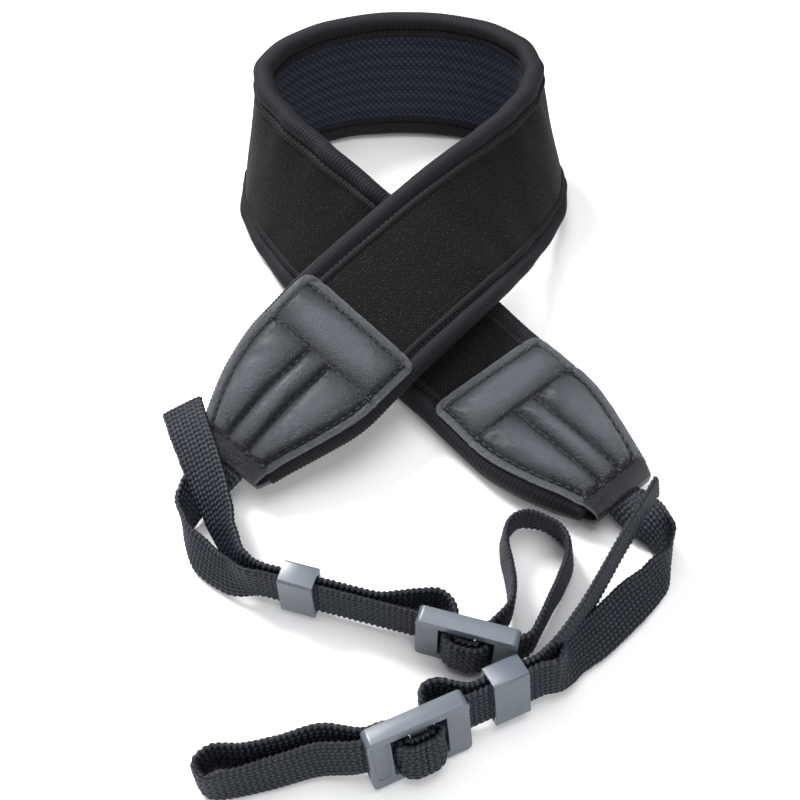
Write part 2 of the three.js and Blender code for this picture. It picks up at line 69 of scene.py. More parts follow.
# End tabs
TAB_LENGTH = 46.0
LEATHER_LEVEL = 3.3
LEATHER_THICKNESS = 0.9
LEATHER_INSET = 1.5
CORNER_RADIUS = 3.0
SEAM_INSET = 2.4
SEAM_CORNER = 0.8
CROSS_SEAM = 32.0
FINGER_SEAM = 3.1
FINGER_START = 5.5
NOSE_SEAM = FINGER_START - 0.8
PANEL_PUFF = 2.6
FINGER_PUFF = 2.15
STITCH_PITCH = 2.1
TAB_STITCH = {"pitch": STITCH_PITCH, "length": 1.65, "thread": 0.3}
STITCH_SINK = 0.12
SEAM_GROOVE = 0.42
SEAM_GROOVE_WIDTH = 0.6
RIM_DROP = 0.45
RIM_TUCK = 0.35
CUT_EDGE = 0.35
CUT_EDGE_PALE = 0.8
BACK_ROWS, FOLD_ROWS, FRONT_ROWS = 40, 22, 150
LEATHER_COLUMNS = 121
SLACK_SEEDS = {"left": 1.3, "right": 4.1}
NOSE_SQUEEZE = 0.6
SQUEEZE_LENGTH = 10.0
FLANGE_FADE = 0.9
FLANGE_PALE_SHARE = 0.8

# Webbing
WEBBING_WIDTH = 10.0
WEBBING_THICKNESS = 1.4
WEAVE_PITCH = 1.2
WEAVE_COLUMNS = 10
WEAVE_DEPTH = 0.32
WEAVE_STAGGER = 0.18
STRAND = 0.9
SEWN_DEPTHS = (6.5, 3.25, 0.5)

# Sliders and keepers. A slider sits out in front of its strap and a little up it.
SLIDER_SETBACK = 2.2
SLIDER_RISE = 0.2
SLIDER_EDGE = 0.5
KEEPER_EDGE = 0.36
WALL_FRONT = 1.4
MARK_PLACE = 8.0
MARK_WIDTH = 2.9
MARK_LINE = 0.22
MARK_TOP, MARK_BEND, MARK_FOOT = 5.45, 1.0, -3.4
MARK_RINGS = 60

# Stage and camera
FLOOR_HALF = 3000
CAMERA_PLACE = (0, -160.9, 191.7)
CAMERA_DOWN = 50
CAMERA_LENS = 45
CAMERA_SENSOR = 36

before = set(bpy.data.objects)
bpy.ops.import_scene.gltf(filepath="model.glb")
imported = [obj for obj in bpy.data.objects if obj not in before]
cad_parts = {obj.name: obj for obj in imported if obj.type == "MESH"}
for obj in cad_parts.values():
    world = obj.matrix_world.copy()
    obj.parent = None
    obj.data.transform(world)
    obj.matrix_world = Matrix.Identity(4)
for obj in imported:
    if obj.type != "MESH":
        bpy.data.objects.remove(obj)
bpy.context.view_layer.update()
rng = np.random.default_rng(7)


# ---------------------------------------------------------------- routes


class Curve:
    """A centripetal curve through points, by the distance travelled along it."""

    def __init__(self, points):
        self.points = np.array(points, float)
        self.last = len(self.points) - 1
        knots = np.linspace(0, 1, 4001)
        self.knots = knots
        steps = np.linalg.norm(np.diff(self.at_knots(knots), axis=0), axis=1)
        self.travel = np.concatenate([[0], np.cumsum(steps)])
        self.length = float(self.travel[-1])

    def at_knots(self, t):
        p = self.points
        padded = np.vstack([2 * p[0] - p[1], p, 2 * p[-1] - p[-2]])
        place = np.clip(np.asarray(t, float), 0, 1) * self.last
        i = np.minimum(place.astype(int), self.last - 1)
        w = (place - i)[:, None]
        a, b, c, d = (padded[i + k] for k in range(4))
        gaps = [np.linalg.norm(n - m, axis=1)[:, None] ** 0.5 for m, n in ((a, b), (b, c), (c, d))]
        t0, t1, t2 = gaps
        lead = ((b - a) / t0 - (c - a) / (t0 + t1) + (c - b) / t1) * t1
        trail = ((c - b) / t1 - (d - b) / (t1 + t2) + (d - c) / t2) * t1
        cubic = 2 * b - 2 * c + lead + trail
        square = -3 * b + 3 * c - 2 * lead - trail
        return b + w * (lead + w * (square + w * cubic))

    def knot(self, distance):
        return np.interp(distance, self.travel, self.knots)

    def point(self, distance):
        return self.at_knots(self.knot(distance))

    def tangent(self, distance):
        t = self.knot(distance)
        step = 1e-4
        move = self.at_knots(np.minimum(t + step, 1)) - self.at_knots(np.maximum(t - step, 0))
        return unit(move)


def unit(vectors):
    return vectors / np.linalg.norm(vectors, axis=-1, keepdims=True)


def smooth(x):
    x = np.clip(x, 0, 1)
    return x * x * (3 - 2 * x)


class Strip:
    """A flat strip along a curve. Its width points across, and its face points outward."""

    def __init__(self, points, across):
        self.curve = Curve(points)
        self.widths = unit(np.array(across, float))
        self.length = self.curve.length

    def across_at(self, distance):
        place = self.curve.knot(distance) * self.curve.last
        i = np.minimum(place.astype(int), self.curve.last - 1)
        mix = smooth(place - i)[:, None]
        return self.widths[i] * (1 - mix) + self.widths[i + 1] * mix

    def place(self, distance, v, n):
        distance = np.asarray(distance, float)
        along = self.curve.tangent(distance)
        across = self.across_at(distance)
        across = unit(across - along * np.sum(across * along, axis=1, keepdims=True))
        outward = np.cross(along, across)
        v = np.asarray(v, float)[..., None]
        n = np.asarray(n, float)[..., None]
        return self.curve.point(distance) + across * v + outward * n


def leaning(points, leans):
    """The width of a strip that rises to the left of its travel by its lean, in degrees."""
    curve = Curve(points)
    at = np.interp(np.linspace(0, 1, len(points)), curve.knots, curve.travel)
    level = unit(np.cross(UP, curve.tangent(at)))
    lean = np.radians(np.array(leans, float))[:, None]
    return np.cos(lean) * level + np.sin(lean) * UP


PAD_STATIONS = [
    (-39.5, -25, 6.6, 8),
    (-28, -12.5, 13, 11),
    (-18, -2.5, 17.2, 16),
    (-8, 8.5, 20.5, 20),
    (2, 19, 22.8, 22),
    (11.5, 30, 23.8, 27),
    (20.5, 42, 23.0, 38),
    (29, 54.5, 21.4, 50),
    (36.5, 67, 20.6, 59),
    (41, 80, 20.0, 69),
    (40.5, 93, 19.5, 80),
    (34.5, 104, 19.3, 89),
    (23, 111.5, 19.3, 96),
    (9, 115, 19.3, 99),
    (-5, 115, 19.3, 99),
    (-19.5, 111.5, 19.3, 95),
    (-31.5, 104, 19.3, 91),
    (-39, 93.5, 19.3, 86),
    (-40.5, 81, 19.2, 77),
    (-36.5, 68.5, 18.6, 66),
    (-28.5, 56.5, 17.0, 56),
    (-19, 45, 14.8, 45),
    (-9, 34.5, 12.2, 33),
    (1, 24, 9.2, 17),
    (11, 13, 6.8, 7),
    (20.5, 2, 5.9, 3),
    (30, -9.5, 5.6, 4),
    (39.5, -21, 5.3, 1),
    (50.3, -33.6, 5.3, 0),
]
PAD_POINTS = [np.array(s[:3]) + SHIFT for s in PAD_STATIONS]


class Pad(Strip):
    """The pad's leans turn evenly in degrees, as its solids do."""

    def __init__(self):
        super().__init__(PAD_POINTS, leaning(PAD_POINTS, [s[3] for s in PAD_STATIONS]))
        self.leans = np.array([s[3] for s in PAD_STATIONS], float)

    def across_at(self, distance):
        place = self.curve.knot(distance) * self.curve.last
        i = np.minimum(place.astype(int), self.curve.last - 1)
        mix = smooth(place - i)
        lean = np.radians(self.leans[i] * (1 - mix) + self.leans[i + 1] * mix)[:, None]
        level = unit(np.cross(UP, self.curve.tangent(distance)))
        return np.cos(lean) * level + np.sin(lean) * UP


pad = Pad()


def half_width(distance):
    nose = NOSE_WIDTH / 2
    taper = np.clip(distance / TAPER_LENGTH, 0, 1) ** TAPER_BULGE
    return nose + (PAD_HALF - nose) * np.sin(math.pi / 2 * taper)


def pad_half(distance):
    return half_width(np.minimum(distance, pad.length - distance))


# ---------------------------------------------------------------- meshes


def shown(name, data):
    """A new object at the origin, in the scene."""
    made = bpy.data.objects.new(name, data)
    bpy.context.scene.collection.objects.link(made)
    return made


def shade_smooth(mesh):
    for polygon in mesh.polygons:
        polygon.use_smooth = True


def new_piece(name, points, faces, material):
    mesh = bpy.data.meshes.new(name)
    mesh.from_pydata((np.asarray(points).reshape(-1, 3) * MM).tolist(), [], faces)
    mesh.validate()
    mesh.update()
    shade_smooth(mesh)
    mesh.materials.append(material)
    return shown(name, mesh)


def swept_faces(rings, sides):
    """Faces of a closed tube with flat ends, made of rings of points."""
    i, j = np.meshgrid(np.arange(rings - 1), np.arange(sides), indexing="ij")
    k = (j + 1) % sides
    quads = np.stack([i * sides + j, i * sides + k, (i + 1) * sides + k, (i + 1) * sides + j], -1)
    faces = quads.reshape(-1, 4).tolist()
    first = list(range(sides))
    end = [(rings - 1) * sides + j for j in first]
    return faces + [first[::-1], end]


def outward_faces(piece):
    """Turns a closed piece the right way out."""
    work = bmesh.new()
    work.from_mesh(piece.data)
    if work.calc_volume(signed=True) < 0:
        bmesh.ops.reverse_faces(work, faces=work.faces)
    work.to_mesh(piece.data)
    work.free()
    return piece


def set_map(piece, u, v):
    """A UV map from one pair of values per vertex, in millimetres."""
    corners = np.zeros(len(piece.data.loops), np.int64)
    piece.data.loops.foreach_get("vertex_index", corners)
    layer = piece.data.uv_layers.new(name="UVMap")
    pairs = np.stack([np.ravel(u)[corners], np.ravel(v)[corners]], 1).astype(np.float32)
    layer.data.foreach_set("uv", pairs.ravel())


def set_value(piece, name, values):
    layer = piece.data.attributes.new(name, "FLOAT", "POINT")
    layer.data.foreach_set("value", np.ravel(values).astype(np.float32))


def sweep(name, strip, distances, v, n, material, start=0.0):
    """A closed piece from sections (v, n), a row of each per distance; its map counts from start."""
    rings, sides = v.shape
    spread = np.repeat(distances, sides)
    points = strip.place(spread, v.ravel(), n.ravel())
    piece = new_piece(name, points, swept_faces(rings, sides), material)
    for cap in piece.data.polygons[-2:]:
        cap.use_smooth = False
    set_map(piece, spread + start, v)
    return outward_faces(piece)


# ---------------------------------------------------------------- shader maths


class Value:
    """A shader socket that can be used in sums; numbers alone stay in Python."""

    def __init__(self, tree, socket):
        self.tree = tree
        self.socket = socket

    def math(self, operation, *others):
        names = dict(enumerate((self, *others)))
        return self.tree.node("ShaderNodeMath", {"operation": operation}, names)

    def __add__(self, other):
        return self.math("ADD", other)

    def __sub__(self, other):
        return self.math("SUBTRACT", other)

    def __rsub__(self, other):
        return self.tree.node("ShaderNodeMath", {"operation": "SUBTRACT"}, {0: other, 1: self})

    def __mul__(self, other):
        return self.math("MULTIPLY", other)

    def __pow__(self, other):
        return self.math("POWER", other)

    __radd__ = __add__
    __rmul__ = __mul__

    def sine(self):
        return self.math("SINE")

    def above(self, low, high):
        settings = {"interpolation_type": "SMOOTHSTEP"}
        sockets = {"Value": self, "From Min": low, "From Max": high}
        return self.tree.node("ShaderNodeMapRange", settings, sockets)


class Finish:
    """A material built node by node."""

    def __init__(self, name):
        self.material = bpy.data.materials.new(name)
        self.material.use_nodes = True
        self.nodes = self.material.node_tree.nodes
        self.links = self.material.node_tree.links
        self.surface = self.nodes["Principled BSDF"]

    def node(self, kind, settings, sockets, output=0):
        made = self.nodes.new(kind)
        for key, value in settings.items():
            setattr(made, key, value)
        for key, value in sockets.items():
            self.feed(made.inputs[key], value)
        return Value(self, made.outputs[output])

    def feed(self, socket, value):
        if isinstance(value, Value):
            self.links.new(value.socket, socket)
        else:
            socket.default_value = value

    def set(self, **sockets):
        for key, value in sockets.items():
            self.feed(self.surface.inputs[key.replace("_", " ")], value)

    def object_place(self):
        return self.node("ShaderNodeTexCoord", {}, {}, "Object")

    def strip_place(self):
        return self.node("ShaderNodeUVMap", {"uv_map": "UVMap"}, {})

    def part(self, vector, axis):
        return self.node("ShaderNodeSeparateXYZ", {}, {0: vector}, axis)

    def noise(self, place, scale, detail=2.0, roughness=0.5):
        sockets = {"Vector": place, "Scale": scale, "Detail": detail, "Roughness": roughness}
        return self.node("ShaderNodeTexNoise", {}, sockets, "Fac")

    def cells(self, place, scale):
        settings = {"feature": "SMOOTH_F1"}
        sockets = {"Vector": place, "Scale": scale}
        return self.node("ShaderNodeTexVoronoi", settings, sockets, "Distance")

    def stretch(self, place, scale):
        return self.node("ShaderNodeMapping", {}, {"Vector": place, "Scale": scale})

    def mix(self, amount, first, second):
        """Two colours mixed. The node's colour sockets are 6 and 7, and its colour output is 2."""
        sockets = {0: amount, 6: first, 7: second}
        return self.node("ShaderNodeMix", {"data_type": "RGBA"}, sockets, 2)

    def attribute(self, name):
        return self.node("ShaderNodeAttribute", {"attribute_name": name}, {}, "Fac")

    def bump(self, height, depth, strength=1.0, normal=None):
        """Depth is in millimetres."""
        sockets = {"Height": height, "Strength": strength, "Distance": depth * MM}
        if normal is not None:
            sockets["Normal"] = normal
        return self.node("ShaderNodeBump", {}, sockets)


def rgb(r, g, b):
    return (r, g, b, 1.0)


def knit_finish():
    """Smooth jersey laminated to neoprene: a fine slanted rib and tiny pale flecks."""
    look = Finish("knit_facing")
    place = look.strip_place()
    along, across = look.part(place, 0), look.part(place, 1)
    rib = ((along * 0.75 + across) * 8.5).sine() * 0.5 + 0.5
    grain = look.noise(place, 3.2, 3.0, 0.7)
    flecks = look.noise(look.stretch(place, (1.0, 0.7, 1.0)), 3.4, 1.0, 0.4).above(0.64, 0.72)
    cloud = look.noise(place, 0.05, 2.0)
    base = look.mix(cloud, rgb(0.0015, 0.0016, 0.0022), rgb(0.003, 0.0032, 0.0042))
    # The rib's crests are painted lighter here, a painted highlight along the rib.
    ribbed = look.mix(rib * 0.35 + grain * 0.2, base, rgb(0.0125, 0.0125, 0.014))
    colour = look.mix(flecks * 0.5, ribbed, rgb(0.10, 0.095, 0.088))
    relief = look.bump(rib * 0.5 + grain, 0.09, 0.6)
    look.set(Base_Color=colour, Roughness=0.72 + grain * 0.15, Normal=relief)
    look.set(Sheen_Weight=0.03, Sheen_Roughness=0.45, Specular_IOR_Level=0.1)
    return look.material


def grip_finish():
    """Anti-slip lining: embossed blocks, dull on top, with painted shade darkening the recesses
    between them.
    """
    look = Finish("grip_lining")
    place = look.strip_place()
    raised = look.attribute("raised")
    grain = look.noise(place, 6.0, 2.0, 0.6)
    low = look.mix(grain, rgb(0.003, 0.0035, 0.006), rgb(0.006, 0.007, 0.012))
    top = look.mix(grain, rgb(0.020, 0.026, 0.047), rgb(0.038, 0.047, 0.080))
    # Painted shade: the low colour darkens the recesses between the blocks.
    colour = look.mix(raised, low, top)
    look.set(Base_Color=colour, Roughness=0.75 - raised * 0.2, Normal=look.bump(grain, 0.06, 0.5))
    look.set(Sheen_Weight=0.03, Sheen_Roughness=0.5, Specular_IOR_Level=0.2)
    return look.material


def binding_finish():
    """Ribbed knit tape rolled over the pad's edge."""
    look = Finish("edge_binding")
    place = look.strip_place()
    thread = look.noise(look.stretch(place, (2.2, 0.7, 1.0)), 4.0, 3.0, 0.65)
    raised = look.attribute("raised")
    low, high = rgb(0.0006, 0.0006, 0.001), rgb(0.019, 0.019, 0.023)
    # Painted highlight on the rib crests, and painted shade left near-black in the groove and
    # between the ribs.
    colour = look.mix(raised * 0.7 + thread * 0.3, low, high)
    look.set(Base_Color=colour, Roughness=0.62 + thread * 0.2, Normal=look.bump(thread, 0.08, 0.6))
    look.set(Sheen_Weight=0.03, Sheen_Roughness=0.4, Specular_IOR_Level=0.14)
    return look.material


def leather_finish():
    """Satin leatherette with a fine pebbled grain, painted lighter on its raised puffs as a painted
    highlight.
    """
    look = Finish("leatherette")
    place = look.strip_place()
    pebbles = look.cells(look.stretch(place, (2.1, 1.0, 1.0)), 1.6)
    creases = look.noise(look.stretch(place, (2.6, 0.9, 1.0)), 1.8, 4.0, 0.65)
    fine = look.noise(place, 8.0, 2.0)
    raised = look.attribute("raised")
    tint = look.mix(creases, rgb(0.004, 0.005, 0.008), rgb(0.022, 0.026, 0.034))
    highlight_and_pale_flange = look.mix(creases, rgb(0.050, 0.058, 0.070), rgb(0.185, 0.205, 0.230))
    # Painted highlight: the raised puffs, and the flat flange to the same pale tone, take the
    # lighter colour.
    lifted = look.mix((raised ** 1.7) * 0.9, tint, highlight_and_pale_flange)
    colour = look.mix(look.attribute("edge"), lifted, rgb(0.17, 0.175, 0.185))
    height = pebbles * 0.6 + creases + fine * 0.15
    relief = look.bump(height, 0.85, 1.0)
    look.set(Base_Color=colour, Roughness=0.22 + creases * 0.18, Normal=relief)
    look.set(Coat_Weight=0.1, Coat_Roughness=0.3)
    return look.material


def webbing_finish():
    """Polypropylene webbing, painted lighter on its yarn crests as a painted highlight and nearly
    black between them as painted shade.
    """
    look = Finish("webbing")
    place = look.strip_place()
    raised = look.attribute("raised")
    yarn = look.noise(look.stretch(place, (0.8, 5.5, 1.0)), 2.6, 2.0, 0.6)
    tone = look.noise(place, 0.12, 2.0)
    low = rgb(0.0008, 0.0008, 0.0018)
    high = look.mix(tone, rgb(0.026, 0.035, 0.063), rgb(0.054, 0.068, 0.108))
    # Painted highlight on the crests of the weave, and painted shade between them.
    colour = look.mix((raised ** 3.0) * (0.6 + yarn * 0.7), low, high)
    look.set(Base_Color=colour, Roughness=0.4 + yarn * 0.16, Normal=look.bump(yarn, 0.09, 0.8))
    look.set(Specular_IOR_Level=0.3)
    return look.material


def plastic_finish():
    """Satin moulded plastic with a very fine spark texture and a faint haze in its tone."""
    look = Finish("hardware_plastic")
    place = look.object_place()
    spark = look.noise(place, 2600.0, 2.0, 0.6)
    haze = look.noise(place, 160.0, 3.0, 0.6)
    colour = look.mix(haze, rgb(0.075, 0.090, 0.112), rgb(0.105, 0.125, 0.150))
    look.set(Base_Color=colour, Roughness=0.26 + haze * 0.14, Normal=look.bump(spark, 0.02, 0.35))
    look.set(Coat_Weight=0.15, Coat_Roughness=0.3)
    return look.material


def thread_finish():
    look = Finish("thread")
    twist = look.noise(look.stretch(look.object_place(), (1.0, 1.0, 2.0)), 2400.0, 2.0)
    colour = look.mix(twist, rgb(0.004, 0.004, 0.005), rgb(0.022, 0.022, 0.026))
    look.set(Base_Color=colour, Roughness=0.6 + twist * 0.1, Normal=look.bump(twist, 0.05, 0.6))
    return look.material


def table_finish():
    look = Finish("table")
    grain = look.noise(look.object_place(), 40.0, 3.0)
    colour = look.mix(grain, rgb(0.90, 0.905, 0.915), rgb(0.925, 0.93, 0.935))
    look.set(Base_Color=colour, Roughness=0.55)
    return look.material


KNIT = knit_finish()
GRIP = grip_finish()
BINDING = binding_finish()
LEATHER = leather_finish()
WEBBING = webbing_finish()
PLASTIC = plastic_finish()
THREAD = thread_finish()


# ---------------------------------------------------------------- neck pad


def bead_wander(distance, face):
    """The seam on the lining side wanders a little, as a hand-guided seam does."""
    sway = np.sin(distance / 7.3) * 0.6 + np.sin(distance / 17.0 + 1.0)
    return sway * (0.22 if face < 0 else 0.05)


def edge_binding(name, side):
    """A rolled tape with a groove and a thin bead beside it on each face of the pad."""
    distances = np.arange(BINDING_END, pad.length - BINDING_END, RIB_PITCH / 4)
    from_nose = np.minimum(distances, pad.length - distances)
    angles = np.radians(np.linspace(48, 312, 21))
    shoulder = [(6.7, 1.5), (6.6, 2.1), (6.15, 2.55), (5.55, 2.75), (5.0, 2.5)]
    shoulder += [(GROOVE_INSET, 1.95), (4.45, 1.8)]
    rows_v, rows_n, rows_lift = [], [], []
    rib = np.abs(np.sin(math.pi * distances / RIB_PITCH))
    drift = np.interp(distances, DRIFT_PLACES, rng.normal(0, 0.05, len(DRIFT_PLACES)))
    for face in (1, -1):
        for inset, level in shoulder if face > 0 else shoulder[::-1]:
            on_bead = BEAD_INSETS[0] <= inset <= BEAD_INSETS[1]
            shifted = inset + bead_wander(distances, face) * (inset < 6.5)
            rows_v.append(shifted)
            rows_n.append(face * (level + (rib - 0.5) * RIB_HEIGHT * 1.6 * on_bead))
            rows_lift.append(rib * 0.9 if on_bead else rib * 0.0)
        if face > 0:
            for angle in angles:
                swell = 1 + (rib - 0.5) * RIB_HEIGHT / 2 + drift / 4
                rows_v.append(ROLL_INSET + ROLL_INSET * math.cos(angle) * swell)
                rows_n.append(ROLL_HALF_THICKNESS * math.sin(angle) * swell)
                rows_lift.append(0.25 + 0.75 * rib)
    tuck = 0.8 + 0.2 * smooth((from_nose - BINDING_END) / 5)
    inset = np.array(rows_v).T * tuck[:, None]
    level = np.array(rows_n).T * squeeze(from_nose)[:, None]
    edge = pad_half(distances)[:, None]
    piece = sweep(name, pad, distances, side * (edge - inset), level, BINDING)
    # The raised share carries the binding's painted highlight on the ribs and painted shade in the
    # groove.
    set_value(piece, "raised", np.array(rows_lift).T)
    return piece


def pad_face(name, face, material):
    """One face of the pad between its bindings, crowned, and embossed on the lining side."""
    step = GRID_PITCH / 4 if face < 0 else 1.2
    distances = np.arange(PAD_END, pad.length - PAD_END, step)
    columns = 64 if face < 0 else 24
    share = np.linspace(-1, 1, columns + 1)
    room = pad_half(distances)[:, None] - FACE_INSET
    v = share[None, :] * room
    crown = FACE_CROWN * (1 - share[None, :] ** 4)
    level = FACE_LEVEL + np.broadcast_to(crown, v.shape).copy()
    raised = np.zeros_like(v)
    if face < 0:
        course = np.floor(v / (GRID_PITCH * 0.5) + 200.0)
        phase = distances[:, None] / GRID_PITCH + 0.5 * (course % 2)
        block = np.clip(np.sin(math.pi * phase) ** 2 * 1.9 - 0.35, 0, 1)
        rail = np.clip(np.abs(np.sin(math.pi * v / (GRID_PITCH * 0.5))) * 1.8 - 0.25, 0, 1)
        raised = block * rail
        level = level + GRID_HEIGHT * (raised - 0.5)
    back = np.full_like(v, 0.05)
    ring_v = np.concatenate([v, v[:, ::-1]], 1)
    ring_n = face * np.concatenate([level, back], 1)
    piece = sweep(name, pad, distances, ring_v, ring_n, material)
    # On the lining, the raised share paints shade into the recesses between the blocks.
    set_value(piece, "raised", np.concatenate([raised, raised * 0], 1))
    return piece


# ---------------------------------------------------------------- end tabs


def on_tab(end, d, v, n):
    d, v, n = (np.asarray(x, float) for x in (d, v, n))
    if end == "left":
        return pad.place(d.ravel(), v.ravel(), n.ravel())
    return pad.place(pad.length - d.ravel(), -v.ravel(), n.ravel())


def leather_half(d):
    from_corner = CORNER_RADIUS - np.clip(TAB_LENGTH - d, 0, CORNER_RADIUS)
    rounded = CORNER_RADIUS - np.sqrt(CORNER_RADIUS**2 - from_corner**2)
    return half_width(np.maximum(d, 0)) - LEATHER_INSET - rounded


def squeeze(d):
    """The share of its thickness that the strap keeps near a nose, where it is sewn down."""
    return NOSE_SQUEEZE + (1 - NOSE_SQUEEZE) * smooth(d / SQUEEZE_LENGTH)


def swell(value, low, high):
    share = np.clip((value - low) / np.maximum(high - low, 1e-6), 0, 1)
    return np.abs(np.sin(math.pi * share)) ** 0.75


def seam_distance(d, v):
    """How far a place on the front is from its nearest sewn seam."""
    seam = leather_half(d) - SEAM_INSET
    to_side = np.abs(seam - np.abs(v))
    to_cross = np.abs(d - CROSS_SEAM)
    to_finger = np.where(d < CROSS_SEAM, np.abs(np.abs(v) - FINGER_SEAM), 99.0)
    to_wide = np.abs(TAB_LENGTH - SEAM_INSET - d)
    to_nose = np.abs(d - NOSE_SEAM)
    return np.minimum.reduce([to_side, to_cross, to_finger, to_wide, to_nose])


def puff(d, v):
    seam = leather_half(d) - SEAM_INSET
    outer = np.abs(v)
    panel = PANEL_PUFF * swell(d, CROSS_SEAM, TAB_LENGTH - SEAM_INSET)
    panel = panel * swell(v, -seam, seam) ** 0.45
    ends = swell(d, NOSE_SEAM, CROSS_SEAM) ** 0.4
    beside = swell(outer, FINGER_SEAM, np.maximum(seam, FINGER_SEAM + 0.5))
    middle = swell(v, -FINGER_SEAM, FINGER_SEAM)
    fingers = FINGER_PUFF * ends * np.where(outer > FINGER_SEAM, beside, middle)
    return np.where(d > CROSS_SEAM, panel, fingers)


def pucker(d, v, seed):
    """Small gathers that run out from each seam at every stitch, and a few slack folds."""
    near = np.exp(-seam_distance(d, v) / 1.3)
    gather = np.sin(2 * math.pi * (d + v * 0.2) / STITCH_PITCH) * 0.5
    gather += np.sin(2 * math.pi * (v - d * 0.15) / STITCH_PITCH + seed) * 0.5
    slack = np.sin(d * 0.9 + 2 * np.sin(v * 0.5 + seed)) * np.sin(v * 0.35 + seed)
    return 0.17 * near * gather + 0.10 * slack * (1 - near)


def flange(d, v):
    """The flat border outside the seams, painted as pale as the raised parts."""
    beside = smooth((np.abs(v) - leather_half(d) + SEAM_INSET) / FLANGE_FADE)
    beyond = smooth((d - TAB_LENGTH + SEAM_INSET) / FLANGE_FADE)
    nose = smooth((NOSE_SEAM - d) / FLANGE_FADE)
    return FLANGE_PALE_SHARE * np.maximum.reduce([beside, beyond, nose])


def tab_leather(end):
    """The back panel, the fold round the nose and the quilted front, as one closed skin."""
    middle = LEATHER_LEVEL + LEATHER_THICKNESS / 2
    flat = TAB_LENGTH - middle
    arc = math.pi * middle
    travel = np.concatenate([
        np.linspace(0, flat, BACK_ROWS)[:-1],
        np.linspace(flat, flat + arc, FOLD_ROWS)[:-1],
        np.linspace(flat + arc, 2 * flat + arc, FRONT_ROWS),
    ])
    share = np.linspace(-1, 1, LEATHER_COLUMNS)
    turn = np.clip((travel - flat) / middle, 0, math.pi)
    straight = np.where(travel < flat, flat - travel, np.maximum(travel - flat - arc, 0))
    front = smooth((travel - flat - arc) / 1.5)[:, None]
    layers = []
    for thick in (LEATHER_THICKNESS / 2, -LEATHER_THICKNESS / 2):
        travelled = middle + straight - middle * np.sin(turn)
        level = -(middle * squeeze(travelled) + thick) * np.cos(turn)
        d = (travelled - thick * np.sin(turn))[:, None] + 0 * share[None, :]
        rim = 1 - RIM_TUCK * (thick < 0) / leather_half(np.maximum(d, 0))
        v = share[None, :] * leather_half(np.maximum(d, 0)) * rim
        n = level[:, None] + 0 * v
        beyond = np.clip((np.abs(v) - leather_half(d) + SEAM_INSET) / SEAM_INSET, 0, 1)
        groove = SEAM_GROOVE * np.exp(-((seam_distance(d, v) / SEAM_GROOVE_WIDTH) ** 2))
        lift = puff(d, v) + pucker(d, v, SLACK_SEEDS[end]) - groove - RIM_DROP * beyond**2
        n = n + front * np.where(thick > 0, lift, np.maximum(lift, -0.5))
        layers.append((d, v, n))
    points = [on_tab(end, *layer) for layer in layers]
    rows, columns = layers[0][0].shape
    faces = shell_faces(rows, columns)
    piece = new_piece(f"{end}_tab_leather_cover", np.vstack(points), faces, LEATHER)
    d, v, n = layers[0]
    # This raised share sets the painted highlight on the puffs and the pale flange.
    height = np.maximum(np.clip(puff(d, v) / FINGER_PUFF, 0, 1), flange(d, v)) * front
    border = np.exp(-np.abs(np.abs(v) - leather_half(d)) / CUT_EDGE)
    border = np.maximum(border, np.exp(-np.abs(d - TAB_LENGTH) / CUT_EDGE)) * CUT_EDGE_PALE
    way = np.repeat(travel, columns)
    set_map(piece, np.concatenate([way, way]), np.concatenate([v.ravel(), v.ravel()]))
    set_value(piece, "raised", np.concatenate([height.ravel(), height.ravel() * 0]))
    set_value(piece, "edge", np.concatenate([border.ravel(), border.ravel()]))
    return outward_faces(piece)


def shell_faces(rows, columns):
    """Two grids of the same size joined round their borders."""
    count = rows * columns
    i, j = np.meshgrid(np.arange(rows - 1), np.arange(columns - 1), indexing="ij")
    a = i * columns + j
    top = np.stack([a, a + 1, a + columns + 1, a + columns], -1).reshape(-1, 4)
    bottom = top[:, ::-1] + count
    border = list(range(columns))
    border += [r * columns + columns - 1 for r in range(1, rows)]
    border += [(rows - 1) * columns + c for c in range(columns - 2, -1, -1)]
    border += [r * columns for r in range(rows - 2, 0, -1)]
    after = border[1:] + border[:1]
    walls = [[b, a, a + count, b + count] for a, b in zip(border, after)]
    return top.tolist() + bottom.tolist() + walls


# ---------------------------------------------------------------- webbing


class Strap:
    """Where a doubled strap runs straight through its slider: (along, forward) in its own axes."""

    def __init__(self, x, y, z, heading, lean, front):
        turn, tilt = math.radians(heading), math.radians(lean)
        self.origin = np.array([x, y, z]) + SHIFT
        self.along = np.array([math.cos(turn), math.sin(turn), 0])
        level = np.cross(UP, self.along)
        self.across = math.cos(tilt) * level + math.sin(tilt) * UP
        self.left = level
        self.front = front

    def at(self, along, forward):
        """A station: its point and the direction of its width."""
        point = self.origin + self.along * along - self.left * (self.front * forward)
        return point, self.across


LEFT = Strap(13.9, -67.4, 7.3, -16, 90, 1)
RIGHT = Strap(2.5, -87.6, 7.6, 204, 104, -1)


def free(x, y, z, lean):
    return np.array([x, y, z]) + SHIFT, lean


def route(stations):
    """A strip through stations; a lean in degrees becomes a width from the way the strip runs."""
    points = [s[0] for s in stations]
    leans = [0.0 if np.ndim(s[1]) else s[1] for s in stations]
    widths = leaning(points, leans)
    for i, station in enumerate(stations):
        if np.ndim(station[1]):
            widths[i] = station[1]
    return Strip(points, widths)


